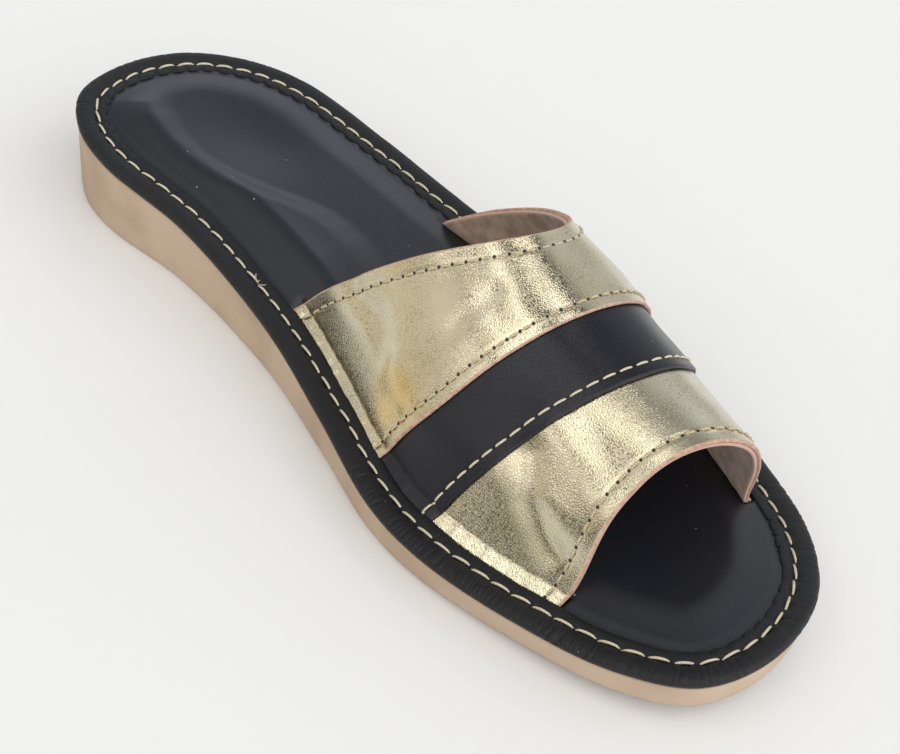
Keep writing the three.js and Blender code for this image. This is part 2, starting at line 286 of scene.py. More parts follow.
def ramp(tree, value, low, high):
    """Output that runs from 0 to 1 as the value runs from low to high."""
    spread = {"Value": value, "From Min": low, "From Max": high}
    return add_node(tree, "ShaderNodeMapRange", spread, interpolation_type="SMOOTHSTEP").outputs[0]


def mix_color(tree, share, first, second):
    """Output with the second colour laid over the first by the share."""
    sockets = {"Factor": share, 6: first, 7: second}
    return add_node(tree, "ShaderNodeMix", sockets, data_type="RGBA").outputs[2]


def combine(tree, how, first, second=0.0):
    """Output of one Math node."""
    return add_node(tree, "ShaderNodeMath", {0: first, 1: second}, operation=how).outputs[0]


# Mottle: a cloudy value about 0.5, in patches of the given size in metres
mottle, mottle_in, mottle_out = new_effect(
    "mottle",
    [
        ("Vector", "NodeSocketVector", None),
        ("Patches", "NodeSocketFloat", 100.0),
        ("Detail", "NodeSocketFloat", 3.0),
    ],
    [("Value", "NodeSocketFloat")],
)
clouds = {"Scale": mottle_in.outputs["Patches"]}
clouds.update({name: mottle_in.outputs[name] for name in ("Vector", "Detail")})
mottle.links.new(add_node(mottle, "ShaderNodeTexNoise", clouds).outputs["Fac"], mottle_out.inputs["Value"])


def mottle_value(tree, vector, patches, detail=3.0):
    """Output of the mottle group placed in a material."""
    sockets = {"Vector": vector, "Patches": patches, "Detail": detail}
    return add_node(tree, "ShaderNodeGroup", sockets, node_tree=mottle).outputs["Value"]


def add_bump(tree, shader, height, strength, distance):
    """Turns a height into the shader's normal. The distance is the height's full rise, in metres."""
    bump = add_node(tree, "ShaderNodeBump", {"Height": height, "Strength": strength, "Distance": distance})
    tree.links.new(bump.outputs[0], shader.inputs["Normal"])


rubber, rubber_tree, rubber_shader = new_finish("foamed_rubber", Roughness=0.82)
rubber_place = object_place(rubber_tree)
rubber_cloud = ramp(rubber_tree, mottle_value(rubber_tree, rubber_place, 45.0), 0.35, 0.7)
rubber_pores = mottle_value(rubber_tree, rubber_place, 2600.0, 2.0)
rubber_color = mix_color(rubber_tree, rubber_cloud, sole_color, sole_shade)
rubber_tree.links.new(rubber_color, rubber_shader.inputs["Base Color"])
add_bump(rubber_tree, rubber_shader, rubber_pores, 0.25, 0.0003)

sole_count = 720
sole_steps = 56
sole_shares = np.arange(sole_count) / sole_count
sole_rings = []
for inset, height in zip(sole_edge["inset"], sole_edge["height"]):
    ring = inset_line(sole_shares, np.full(sole_count, inset))
    low, top = underside(ring[:, 0]), sole_top(ring[:, 0])
    sole_rings.append(np.column_stack([ring, low + height * (top - low)]))
tread = rung_points(sole_rings[-1], sole_steps)
tread_edge = distance_to_line(tread, np.vstack([sole_rings[-1][::4, :2], sole_rings[-1][:1, :2]]))
rib_phase = (tread[:, 0] + rib_wave * np.sin(2 * np.pi * tread[:, 1] / rib_wave_length)) / rib_pitch
ribs = rib_depth * soft_step(1.6 * (0.5 + 0.5 * np.cos(2 * np.pi * rib_phase)) - 0.2)
waist = soft_step((np.abs(tread[:, 0] / length - bare_waist["along"]) - bare_waist["half"]) / 0.02)
ribs *= soft_step((tread_edge - rib_margin) / 1.5) * waist
sole_points = np.vstack([*sole_rings, np.column_stack([tread, underside(tread[:, 0]) + ribs])])
ring_total = len(sole_rings) * sole_count
sole_faces = [
    ring_faces(len(sole_rings), sole_count),
    rung_sheet(ring_total - sole_count, sole_count, sole_steps, ring_total)[:, ::-1],
    rung_sheet(0, sole_count, 1, 0),
]
outsole = add_piece("rubber_outsole", sole_points, sole_faces, rubber)
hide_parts("outsole")

# The insole is a foam pad under smooth black leather, lasted round the footbed board. It swells inside
# the rim, rises under the arch and has a heel cup whose inner rim runs on in a soft S.
strip_width = 9.2
clearance = 0.3
insole_tuck = 8.6
insole_lip = 2.25
insole_edge = 2.9
insole_thickness = 5.6
insole_roll = 13.0
insole_hills = {
    "along": [0.15, 0.4, 0.53, 0.73, 0.2],
    "across": [0.06, -0.2, 0.08, 0.04, 0.12],
    "height": [-1.7, 3.4, 1.7, -0.9, -0.8],
    "spread_along": [0.09, 0.13, 0.07, 0.09, 0.07],
    "spread_across": [0.2, 0.13, 0.16, 0.26, 0.12],
}
cup_rim = {
    "along": [0.06, 0.1, 0.14, 0.175, 0.2, 0.23, 0.27, 0.3, 0.325, 0.35, 0.38, 0.41, 0.47],
    "across": [-0.01, -0.07, -0.1, -0.108, -0.098, -0.075, -0.03, 0.012, 0.038, 0.05, 0.05, 0.03, -0.03],
}
cup_rim_height = 2.1
cup_rim_width = 11.0
upper_foot = {"medial": (0.407, 0.836), "lateral": (0.387, 0.855)}
upper_foot_inset = 13.0
insole_color = (0.0078, 0.0095, 0.0150, 1)
dust_color = (0.42, 0.42, 0.40, 1)
speck_radius = 0.06

insole_count = 720
insole_steps = 110
insole_shares = np.arange(insole_count) / insole_count
insole_ring = inset_line(insole_shares, np.full(insole_count, insole_tuck))
insole_plan = rung_points(insole_ring, insole_steps)
insole_from_edge = distance_to_line(insole_plan, np.vstack([insole_ring[::4], insole_ring[:1]]))


def insole_skin(point, inset):
    """Height of the insole's skin over the sole at plan points and their insets: a steep shoulder at the
    rim, a roll up to the full thickness, hills as bell shapes, and the soft step of the cup's rim."""
    along, across = point[:, 0] / length, point[:, 1] / ball_width
    roll = soft_step((inset - strip_width) / insole_roll)
    shoulder = soft_step((inset - insole_tuck - 0.2) / 3.6)
    hills = np.zeros(len(point))
    for a, b, height, da, db in zip(*insole_hills.values()):
        hills += height * np.exp(-(((along - a) / da) ** 2) - ((across - b) / db) ** 2)
    rim = np.interp(along, cup_rim["along"], cup_rim["across"]) * ball_width
    rim_reach = soft_step((along - 0.05) / 0.07) * (1 - soft_step((along - 0.38) / 0.1))
    pad = cup_rim_height * rim_reach * soft_step((rim - point[:, 1]) / cup_rim_width + 0.5)
    skin = insole_lip + (insole_edge - insole_lip) * shoulder
    skin = skin + (insole_thickness - insole_edge + hills + pad) * roll
    side = np.where(point[:, 1, None] < 0, upper_foot["medial"], upper_foot["lateral"])
    under_upper = soft_step((along - side[:, 0]) / 0.004) * (1 - soft_step((along - side[:, 1]) / 0.004))
    sunk = under_upper * (1 - soft_step((inset - upper_foot_inset + 0.5) / 0.9))
    return skin * (1 - sunk) + 0.6 * sunk


# Dust: a few pale specks, as a share of cells whose random number is high
dust, dust_in, dust_out = new_effect(
    "dust",
    [
        ("Vector", "NodeSocketVector", None),
        ("Cells", "NodeSocketFloat", 150.0),
        ("Rareness", "NodeSocketFloat", 0.9),
    ],
    [("Mask", "NodeSocketFloat")],
)
dust_scale = {"Vector": dust_in.outputs["Vector"], "Scale": dust_in.outputs["Cells"]}
dust_cells = add_node(dust, "ShaderNodeTexVoronoi", dust_scale)
dust_pick = add_node(dust, "ShaderNodeSeparateColor", {0: dust_cells.outputs["Color"]})
dust_chosen = combine(dust, "GREATER_THAN", dust_pick.outputs[0], dust_in.outputs["Rareness"])
dust_speck = combine(dust, "LESS_THAN", dust_cells.outputs["Distance"], speck_radius)
dust.links.new(combine(dust, "MULTIPLY", dust_chosen, dust_speck), dust_out.inputs["Mask"])


def dusty_color(tree, vector, color, cells, rareness, share):
    """Output with a colour under the specks of the dust group, which cover it by the share."""
    sockets = {"Vector": vector, "Cells": cells, "Rareness": rareness}
    mask = add_node(tree, "ShaderNodeGroup", sockets, node_tree=dust).outputs["Mask"]
    return mix_color(tree, combine(tree, "MULTIPLY", mask, share), color, dust_color)


def wander(tree, vector, patches, low, high):
    """Output that wanders from low to high in patches, as the mottle does."""
    sockets = {"Value": mottle_value(tree, vector, patches), "To Min": low, "To Max": high}
    return add_node(tree, "ShaderNodeMapRange", sockets).outputs[0]


# Grain: height of a leather's pebbles, in cells per metre, with softer clouds, and the lines between them.
# The cells stray from their places by up to so many metres.
grain_stray = 0.0004
grain, grain_in, grain_out = new_effect(
    "grain",
    [
        ("Vector", "NodeSocketVector", None),
        ("Cells", "NodeSocketFloat", 1000.0),
        ("Clouds", "NodeSocketFloat", 0.4),
    ],
    [("Height", "NodeSocketFloat"), ("Lines", "NodeSocketFloat")],
)
grain_from = grain_in.outputs["Vector"]
grain_warp = add_node(grain, "ShaderNodeTexNoise", {"Vector": grain_from, "Scale": 1300.0, "Detail": 2.0})
grain_shift = add_node(
    grain, "ShaderNodeVectorMath", {0: grain_warp.outputs["Color"], 1: (grain_stray,) * 3}, operation="MULTIPLY"
)
grain_place = add_node(
    grain, "ShaderNodeVectorMath", {0: grain_from, 1: grain_shift.outputs[0]}, operation="ADD"
)
grain_cells = add_node(
    grain, "ShaderNodeTexVoronoi", {"Vector": grain_place.outputs[0], "Scale": grain_in.outputs["Cells"]},
    feature="DISTANCE_TO_EDGE",
)
grain_pebbles = ramp(grain, grain_cells.outputs["Distance"], 0.0, 0.3)
grain_cloud = add_node(grain, "ShaderNodeTexNoise", {"Vector": grain_from, "Scale": 350.0, "Detail": 4.0})
grain_lines = combine(grain, "SUBTRACT", 1.0, ramp(grain, grain_cells.outputs["Distance"], 0.0, 0.14))
grain.links.new(grain_lines, grain_out.inputs["Lines"])
grain_low = combine(grain, "MULTIPLY", grain_cloud.outputs["Fac"], grain_in.outputs["Clouds"])
grain.links.new(combine(grain, "ADD", grain_pebbles, grain_low), grain_out.inputs["Height"])


def grain_maps(tree, vector, cells, clouds):
    """Outputs of the grain group placed in a material: the height and the lines."""
    sockets = {"Vector": vector, "Cells": cells, "Clouds": clouds}
    made = add_node(tree, "ShaderNodeGroup", sockets, node_tree=grain)
    return made.outputs["Height"], made.outputs["Lines"]


calf, calf_tree, calf_shader = new_finish("insole_calf")
calf_place = object_place(calf_tree)
calf_base = dusty_color(calf_tree, calf_place, insole_color, 260.0, 0.8, 0.7)
calf_tree.links.new(calf_base, calf_shader.inputs["Base Color"])
calf_tree.links.new(wander(calf_tree, calf_place, 60.0, 0.33, 0.41), calf_shader.inputs["Roughness"])
add_bump(calf_tree, calf_shader, grain_maps(calf_tree, calf_place, 1500.0, 0.5)[0], 0.12, 0.0002)

insole_bed = np.column_stack([insole_ring, sole_top(insole_ring[:, 0]) + clearance])
insole_rim = insole_bed + (0, 0, insole_lip)
insole_top = sole_top(insole_plan[:, 0]) + clearance + insole_skin(insole_plan, insole_from_edge + insole_tuck)
insole_points = np.vstack([insole_rim, insole_bed, np.column_stack([insole_plan, insole_top])])
insole_faces = [
    ring_faces(2, insole_count),
    rung_sheet(0, insole_count, insole_steps, 2 * insole_count),
    rung_sheet(insole_count, insole_count, 1, 0)[:, ::-1],
]
insole = add_piece("padded_insole", insole_points, insole_faces, calf)
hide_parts("insole")

# The rim strip is soft black leather rolled over the edge of the footbed. It puckers where the edge
# bends, dips along its seam, and its raw inner edge lies on the insole, with a few snips at the toe.
strip_section = {
    "inset": [
        0.9, 0.25, 0.02, 0.0, 0.2, 0.7, 1.5, 2.6, 3.7, 4.6, 5.2,
        5.65, 6.1, 6.6, 7.3, 8.1, 8.8, 9.15, 9.28, 9.2, 8.6,
    ],
    "height": [
        0, 0.4, 1.0, 1.6, 2.15, 2.65, 2.98, 3.1, 3.0, 2.74, 2.46,
        2.28, 2.3, 2.5, 2.72, 2.8, 2.74, 2.62, 2.4, 1.7, 0,
    ],
}
seam_inset = 5.9
seam_pitch = 5.8
pit_depth = 0.4
pucker_rows = {
    "side": ["medial", "medial", "lateral", "lateral", "medial", "lateral", "medial"],
    "from": [0.6, 0.86, 0.86, 0.6, 0.0, 0.0, 0.15],
    "to": [0.9, 1.0, 1.0, 0.86, 0.12, 0.12, 0.6],
    "count": [190, 80, 80, 60, 40, 40, 50],
    "depth": [0.13, 0.1, 0.09, 0.06, 0.07, 0.07, 0.04],
}
snip_places = (0.903, 0.917, 0.924, 0.938)
snip_depth = 1.0
snip_width = 0.4
scallop_depth = 0.75
scallop_dip = 0.3
edge_wander = 0.12
height_wander = 0.012
bends = {"heel_end": 0.16, "heel_gain": 1.4, "toe_start": 0.9, "toe_reach": 0.25, "side_end": 0.4, "side": 0.85}
strip_color = (0.0085, 0.0088, 0.0105, 1)
random = np.random.default_rng(7)


def grid_normals(points):
    """Unit directions square to a grid of points, from the differences between its neighbours. The grid's
    rows are open at both ends and its columns run round."""
    along = np.roll(points, -1, 0) - np.roll(points, 1, 0)
    along[0], along[-1] = points[1] - points[0], points[-1] - points[-2]
    across = np.roll(points, -1, 1) - np.roll(points, 1, 1)
    normal = np.cross(along, across)
    return normal / np.maximum(np.linalg.norm(normal, axis=-1), 1e-9)[..., None]


strip_count = 3000
strip_shares, strip_run = even_shares(strip_count, 0)
strip_steps = np.arange(strip_count) / strip_count * strip_run
strip_along = plan_line(strip_shares)[0][:, 0] / length
on_medial = strip_shares < 0.5
strip_turn = np.arange(strip_count) / strip_count
slow_wave = sum(np.sin(2 * np.pi * (k * strip_turn + p)) for k, p in ((9, 0.2), (17, 0.6), (31, 0.1)))
snips = np.zeros(strip_count)
for place in snip_places:
    middle = strip_steps[np.argmin(np.where(on_medial, 9, np.abs(strip_along - place)))]
    snips += np.exp(-(((strip_steps - middle) / snip_width) ** 2))
heel_bend = bends["heel_gain"] * (1 - strip_along / bends["heel_end"])
toe_bend = (strip_along - bends["toe_start"]) / bends["toe_reach"]
bend_share = np.clip(np.where(strip_along < bends["heel_end"], heel_bend, toe_bend), 0, 1)
on_side = ~on_medial & (strip_along < bends["side_end"])
bend_share = np.maximum(bend_share, np.where(on_side, bends["side"], 0))
seam_wave = 0.5 - 0.5 * np.cos(2 * np.pi * strip_steps / seam_pitch)
strip_grid = []
for inset, height in zip(strip_section["inset"], strip_section["height"]):
    inner = soft_step((inset - 6.6) / 2.4)
    scallop = scallop_depth * bend_share * seam_wave**2
    reach = inset + inner * (edge_wander * slow_wave - scallop - snip_depth * np.minimum(snips, 1))
    lift = 1 + height_wander * slow_wave
    ring = inset_line(strip_shares, reach)
    tall = height * lift - inner * scallop_dip * bend_share * (seam_wave**2 - 0.3) * (height > 1)
    strip_grid.append(np.column_stack([ring, sole_top(ring[:, 0]) + clearance + tall]))
strip_grid = np.array(strip_grid)
strip_reach = np.array(strip_section["inset"])
puckers = np.zeros(strip_grid.shape[:2])
for side, low, high, count, depth in zip(*pucker_rows.values()):
    inside = (on_medial == (side == "medial")) & (strip_along >= low) & (strip_along <= high)
    places = random.choice(strip_steps[inside], count)
    widths = random.uniform(0.24, 0.38, count)
    depths = depth * random.uniform(0.4, 1.3, count)
    slants = random.normal(0, 0.12, count)
    reaches = random.uniform(2.2, 5.0, count)
    for place, width, deep, slant, reach in zip(places, widths, depths, slants, reaches):
        near = np.abs(strip_steps - place) < 4
        gap = strip_steps[near][None] - place - slant * strip_reach[:, None]
        fade = 1 - soft_step((strip_reach - reach + 1.5) / 1.5)
        puckers[:, near] -= deep * fade[:, None] * np.exp(-((gap / width) ** 2))
stretch = 1 + 0.12 * np.sin(2 * np.pi * strip_steps / seam_pitch)
groove = np.exp(-(((strip_reach - seam_inset) / 0.9) ** 2))[:, None] * (stretch - 1)[None]
seam_phase = np.mod(strip_steps / seam_pitch + 0.5, 1) - 0.5
pit_across = np.exp(-(((strip_reach - seam_inset) / 0.7) ** 2))[:, None]
groove -= pit_depth * pit_across * np.exp(-((seam_phase * seam_pitch / 0.6) ** 2))
top_side = (np.array(strip_section["height"]) > 0.9)[:, None]
strip_normals = grid_normals(strip_grid)
if (strip_normals[7, :, 2]).mean() < 0:
    strip_normals = -strip_normals
strip_grid += strip_normals * ((puckers + groove) * top_side)[..., None]

black, black_tree, black_shader = new_finish("rim_leather", Specular_IOR_Level=0.32)
black_place = object_place(black_tree)
black_base = dusty_color(black_tree, black_place, strip_color, 330.0, 0.93, 0.35)
black_tree.links.new(black_base, black_shader.inputs["Base Color"])
black_tree.links.new(wander(black_tree, black_place, 160.0, 0.44, 0.6), black_shader.inputs["Roughness"])
add_bump(black_tree, black_shader, grain_maps(black_tree, black_place, 1300.0, 0.8)[0], 0.35, 0.00025)
strip_faces = [ring_faces(len(strip_grid), strip_count, close=True)]
strip = add_piece("rolled_rim_strip", strip_grid.reshape(-1, 3), strip_faces, black)
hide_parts("rim_strip")

# The rim's seam is thick cream thread in long stitches, each from needle hole to needle hole, pulled
# down at its ends and lying a little slantwise in the groove.
# The thread's darker colour is painted shade between its twisted strands
thread_color = (0.66, 0.60, 0.45, 1)
thread_painted_shade = (0.53, 0.47, 0.34, 1)
stitch_rings = 7
stitch_sides = 6
rim_stitch = {"radius": 0.36, "lift": 0.36, "sink": 0.34}
rim_slant = 0.22


def stitch_points(start, end, up, radius, lift, sink):
    """Points of stitches that run from start to end: rings round a line that rises by lift at the middle
    and dips by sink at both ends, thinner there. Gives the points, faces and a map of length and turn."""
    count = len(start)
    t = np.linspace(0, 1, stitch_rings)[None, :, None]
    swell = np.sin(np.pi * t) ** 0.5
    way = (end - start)[:, None]
    centre = start[:, None] + way * t + up[:, None] * (lift * swell - sink * (1 - swell))
    side = np.cross(way, up[:, None])
    side = side / np.linalg.norm(side, axis=-1)[..., None]
    turn = np.arange(stitch_sides) / stitch_sides * 2 * np.pi
    thick = radius * (0.55 + 0.45 * swell)[..., None]
    turns = turn[None, None, :, None]
    ring = side[:, :, None] * np.cos(turns) + up[:, None, None] * np.sin(turns)
    body = centre[:, :, None] + thick * ring
    ends = np.stack([centre[:, 0] - way[:, 0] * 0.02, centre[:, -1] + way[:, 0] * 0.02], 1)
    points = np.concatenate([body.reshape(count, -1, 3), ends], 1)
    quads = ring_faces(stitch_rings, stitch_sides)
    i = np.arange(stitch_sides)
    j = (i + 1) % stitch_sides
    pole = stitch_rings * stitch_sides
    last = pole - stitch_sides
    caps = np.concatenate([
        np.stack([j, i, np.full(stitch_sides, pole)], 1),
        np.stack([last + i, last + j, np.full(stitch_sides, pole + 1)], 1),
    ])
    step = (np.arange(count) * points.shape[1])[:, None, None]
    run = np.linalg.norm(end - start, axis=1)[:, None, None] * t
    run = np.broadcast_to(run, (count, stitch_rings, stitch_sides))
    round_share = np.broadcast_to(turn / (2 * np.pi), run.shape)
    body_map = np.stack([run, round_share], -1).reshape(count, -1, 2)
    full_map = np.concatenate([body_map, np.zeros((count, 2, 2))], 1)
    blocks = [(quads[None] + step).reshape(-1, 4), (caps[None] + step).reshape(-1, 3)]
    return points.reshape(-1, 3), blocks, full_map.reshape(-1, 2)


def thread_finish(name, color, painted_strand_shade):
    """Twisted thread: bands that wind round it, light on the strands and darker between them, where shade is
    painted into the grooves.
    """
    material, tree, shader = new_finish(name, Roughness=0.75)
    twist = add_node(tree, "ShaderNodeUVMap", uv_map="twist").outputs[0]
    place = add_node(tree, "ShaderNodeSeparateXYZ", {0: twist})
    wound = combine(tree, "ADD", combine(tree, "MULTIPLY", place.outputs[0], 1.6), place.outputs[1])
    strands = combine(tree, "SINE", combine(tree, "MULTIPLY", wound, 2 * math.pi))
    share = ramp(tree, strands, -1.0, 0.4)
    tree.links.new(mix_color(tree, share, painted_strand_shade, color), shader.inputs["Base Color"])
    add_bump(tree, shader, strands, 0.35, 0.0001)
    return material


cream_thread = thread_finish("cream_thread", thread_color, thread_painted_shade)


def strip_surface(shares):
    """Points of the strip's groove at shares round the outline."""
    ring = inset_line(shares, np.full(len(shares), seam_inset))
    height = np.interp(seam_inset, strip_section["inset"][3:18], strip_section["height"][3:18])
    return np.column_stack([ring, sole_top(ring[:, 0]) + clearance + height])


seam_fine = np.linspace(0, 1, 6001)
seam_line = strip_surface(seam_fine)
seam_run = np.concatenate([[0], np.cumsum(np.linalg.norm(np.diff(seam_line, axis=0), axis=1))])
seam_count = int(round(seam_run[-1] / seam_pitch))
seam_steps = np.arange(seam_count) / seam_count * seam_run[-1]
seam_gap = 0.045 * seam_pitch
seam_wander = random.normal(0, 0.12, (2, seam_count))


def seam_place(steps, aside):
    """Points on the seam at distances along it, moved aside across it."""
    shares = np.interp(np.mod(steps, seam_run[-1]), seam_run, seam_fine)
    point = strip_surface(shares)
    point[:, :2] += plan_line(shares)[1] * aside[:, None]
    return point


rim_start = seam_place(seam_steps + seam_gap, -rim_slant + seam_wander[0])
rim_end = seam_place(seam_steps + seam_run[-1] / seam_count - seam_gap, rim_slant + seam_wander[1])
rim_up = np.tile((0.0, 0.0, 1.0), (seam_count, 1))
rim_points, rim_faces, rim_map = stitch_points(rim_start, rim_end, rim_up, **rim_stitch)
add_piece("rim_stitches", rim_points, rim_faces, cream_thread, maps={"twist": rim_map})

# The seam's thread ends at the waist in a short frayed tail of three strands.
tail_share = 0.195
tail_reach = [(1.4, -0.8, 2.6), (-0.6, -0.5, 3.4), (2.6, 0.4, 1.3)]
tail_root = strip_surface(np.full(3, tail_share))
tail_points, tail_faces, tail_map = stitch_points(
    tail_root, tail_root + tail_reach, np.tile((0.0, -1.0, 0.0), (3, 1)), 0.14, 0.4, 0.0
)
add_piece("thread_tail", tail_points, tail_faces, cream_thread, maps={"twist": tail_map})

# The lining is one piece of brown-grey suede over the whole arch, from the insole's one side to the
# other. It shows at the rear and front openings, with its own raw edge.
last_rows = {
    "along": [0.4, 0.59, 0.68, 0.76, 0.87],
    "rise": [1.31, 1.02, 0.862, 0.79, 0.735],
    "fullness": [0.87, 0.807, 0.782, 0.755, 0.72],
}
last_skew = 1.2
instep_rise = 49.9
foot_inset = strip_width + clearance + 2.0
foot_lift = 2 * clearance + 1.2
edge_rows = {
    "rear": {"medial": 0.407, "lateral": 0.387, "bow": 0.205, "lean": 0.093, "square": -0.011, "twist": -0.016},
    "rear_band_front": {
        "medial": 0.603, "lateral": 0.647, "bow": 0.062, "lean": 0.011, "square": 0, "twist": 0.036,
    },
    "middle_band_front": {
        "medial": 0.69, "lateral": 0.714, "bow": 0.064, "lean": 0.034, "square": 0.001, "twist": 0.013,
    },
    "front": {"medial": 0.836, "lateral": 0.855, "bow": 0.011, "lean": 0.034, "square": -0.002, "twist": 0.041},
}
slope_reach = 0.01
level_share = 0.06
flange_reach = 1.9
flange_rise = 2.6
fold_height = 0.15
creases = [
    {"route": [(0.5, 0.41), (0.57, 0.36), (0.63, 0.34)], "width": 4.0, "depth": -0.22},
    {"route": [(0.63, 0.34), (0.71, 0.36), (0.75, 0.33), (0.83, 0.28)], "width": 4.0, "depth": -0.24},
    {"route": [(0.52, 0.5), (0.6, 0.47), (0.66, 0.46)], "width": 4.5, "depth": -0.18},
    {"route": [(0.7, 0.5), (0.78, 0.53), (0.84, 0.5)], "width": 4.5, "depth": -0.16},
    {"route": [(0.53, 0.29), (0.6, 0.26), (0.66, 0.25)], "width": 6.0, "depth": 0.2},
    {"route": [(0.615, 0.36), (0.608, 0.28), (0.6, 0.19), (0.598, 0.07)], "width": 3.0, "depth": -0.4},
    {"route": [(0.44, 0.15), (0.48, 0.12), (0.52, 0.13), (0.55, 0.11)], "width": 4.0, "depth": -0.9},
    {"route": [(0.55, 0.12), (0.58, 0.1), (0.62, 0.09)], "width": 4.0, "depth": 0.4},
    {"route": [(0.735, 0.2), (0.76, 0.13), (0.8, 0.07)], "width": 4.5, "depth": -1.0},
    {"route": [(0.73, 0.29), (0.78, 0.25), (0.83, 0.2)], "width": 5.0, "depth": 0.5},
    {"route": [(0.5, 0.8), (0.6, 0.78), (0.7, 0.8)], "width": 5.0, "depth": -0.25},
    {"route": [(0.72, 0.75), (0.8, 0.72)], "width": 5.0, "depth": -0.3},
]

foot_fine = np.linspace(0, 0.5, 1500)
foot_medial = inset_line(foot_fine, np.full(1500, foot_inset))
foot_lateral = inset_line(1 - foot_fine, np.full(1500, foot_inset))


def last_point(x, u):
    """Points on the last at x, a share u of the way from the inner to the outer foot line. They rise by a
    power of the sine of the skewed share."""
    medial = np.interp(x, foot_medial[:, 0], foot_medial[:, 1])
    lateral = np.interp(x, foot_lateral[:, 0], foot_lateral[:, 1])
    u = np.clip(u, 0, 1)
    swell = np.maximum(np.sin(np.pi * u**last_skew), 0) ** column(last_rows, "fullness", x / length)
    rise = instep_rise * column(last_rows, "rise", x / length) * swell
    return np.stack([x, medial + (lateral - medial) * u, sole_top(x) + foot_lift + rise], -1)


def edge_along(name, u):
    """Place along of an edge of a band at the share u of the arch: the line between its corners, and a
    hump that bows, leans, squares its shoulders and twists."""
    row = edge_rows[name]
    hump, side = 4 * u * (1 - u), 2 * u - 1
    shape = row["bow"] + row["lean"] * side + row["square"] * (hump - 0.7) + row["twist"] * side * (hump - 0.6)
    return length * (row["medial"] + (row["lateral"] - row["medial"]) * u + hump * shape)


crease_lines = [
    last_point(*(np.array(row["route"]).T * np.array([[length], [1]]))) for row in creases
]


def crease_height(point):
    """Height of the creases at points on the last: each falls off from its route as a bell."""
    flat = point.reshape(-1, 3)
    height = np.zeros(len(flat))
    for row, line in zip(creases, crease_lines):
        height += row["depth"] * np.exp(-((distance_to_line(flat, line) / row["width"]) ** 2))
    return height.reshape(point.shape[:-1])


def upper_face(x, u, distance):
    """Points of the upper that lie off the last by the distance, with its creases, and drawn in above
    its feet so that it turns out under the strip there, in small folds: a product of two sines."""
    here = last_point(x, u)
    across = last_point(x, np.minimum(u + slope_reach, 1)) - last_point(x, np.maximum(u - slope_reach, 0))
    ahead = last_point(x + 1, u) - last_point(x - 1, u)
    normal = np.cross(ahead, across)
    normal /= np.linalg.norm(normal, axis=-1)[..., None]
    level = np.stack([np.zeros_like(x), np.where(u < 0.5, -1.0, 1.0), np.zeros_like(x)], -1)
    on_foot = (1 - soft_step(np.minimum(u, 1 - u) / level_share))[..., None]
    normal = normal + (level - normal) * on_foot
    normal /= np.linalg.norm(normal, axis=-1)[..., None]
    rise = here[..., 2] - sole_top(x) - foot_lift
    drawn = flange_reach * soft_step(rise / flange_rise) * (1 - soft_step((rise - 4) / 14))
    fold = np.sin(x / 0.8 + 2.2 * np.sin(x / 5.1)) * np.sin(x / 3.1 + 1)
    fold = fold * soft_step(rise / 0.5) * (1 - soft_step((rise - 1.4) / 1.6))
    off = distance + crease_height(here) * soft_step(rise / 4) + fold_height * fold
    point = here + normal * off[..., None]
    point[..., 1] += np.where(u < 0.5, 1, -1) * drawn
    return point


def arch_shares(count):
    """Shares of the arch, closer together near its feet."""
    w = np.linspace(0, 1, count)
    return 0.5 * w + 0.5 * (0.5 - 0.5 * np.cos(np.pi * w))


def wall(back, front, inner, outer, rows, shares, bulge=0.3):
    """Closed wall over the arch from the back line to the front line, which give x at each share. Inner
    and outer give the distance off the last by the distances to the back and front line. Its edges
    are rounded by the bulge. Gives points, faces, the raw edge's mask, x and u."""
    v = np.linspace(0, 1, rows)
    quarter = np.sin(np.linspace(0, np.pi, 5)[1:-1])
    share_of_wall = np.linspace(0, 1, 5)[1:-1]
    along = np.concatenate([v, np.ones(3), v[::-1], np.zeros(3)])
    push = np.concatenate([np.zeros(rows), quarter, np.zeros(rows), -quarter]) * bulge
    depth = np.concatenate([np.ones(rows), 1 - share_of_wall, np.zeros(rows), share_of_wall])
    raw = np.concatenate([np.zeros(rows), np.ones(3), np.zeros(rows), np.ones(3)])
    raw[[0, rows - 1, rows + 3, 2 * rows + 2]] = 1
    start, end = back(shares)[None], front(shares)[None]
    x = start + (end - start) * along[:, None] + push[:, None]
    u = np.broadcast_to(shares[None], x.shape)
    low, high = inner(x - start, end - x), outer(x - start, end - x)
    points = upper_face(x, u, low + (high - low) * depth[:, None])
    count = len(shares)
    rings = len(along)
    ring = np.arange(rings)[:, None]
    i = np.arange(count - 1)[None]
    after = (ring + 1) % rings
    quads = np.stack([ring * count + i, ring * count + i + 1, after * count + i + 1, after * count + i], -1)
    caps = []
    for k in (0, count - 1):
        edge = np.arange(rings) * count + k
        near, far = edge[: rings // 2], edge[: rings // 2 - 1 : -1]
        pair = np.stack([near[:-1], near[1:], far[1:], far[:-1]], 1)
        caps.append(pair if k == 0 else pair[:, ::-1])
    faces = [np.concatenate([quads.reshape(-1, 4), *caps])]
    return points.reshape(-1, 3), faces, np.repeat(raw, count), x, u


lining_outer = 0.9
lining_color = (0.56, 0.405, 0.31, 1)
lining_shade = (0.37, 0.262, 0.195, 1)
raw_color = (0.56, 0.355, 0.265, 1)
raw_shade = (0.40, 0.245, 0.17, 1)
suede, suede_tree, suede_shader = new_finish("suede_lining", Roughness=0.95, Sheen_Weight=0.25)
suede_place = object_place(suede_tree)
suede_cloud = ramp(suede_tree, mottle_value(suede_tree, suede_place, 260.0, 5.0), 0.35, 0.68)
suede_base = mix_color(suede_tree, suede_cloud, lining_color, lining_shade)
suede_raw = add_node(suede_tree, "ShaderNodeAttribute", attribute_name="raw").outputs["Fac"]
suede_tree.links.new(mix_color(suede_tree, suede_raw, suede_base, raw_color), suede_shader.inputs["Base Color"])
add_bump(suede_tree, suede_shader, mottle_value(suede_tree, suede_place, 2200.0), 0.5, 0.0004)

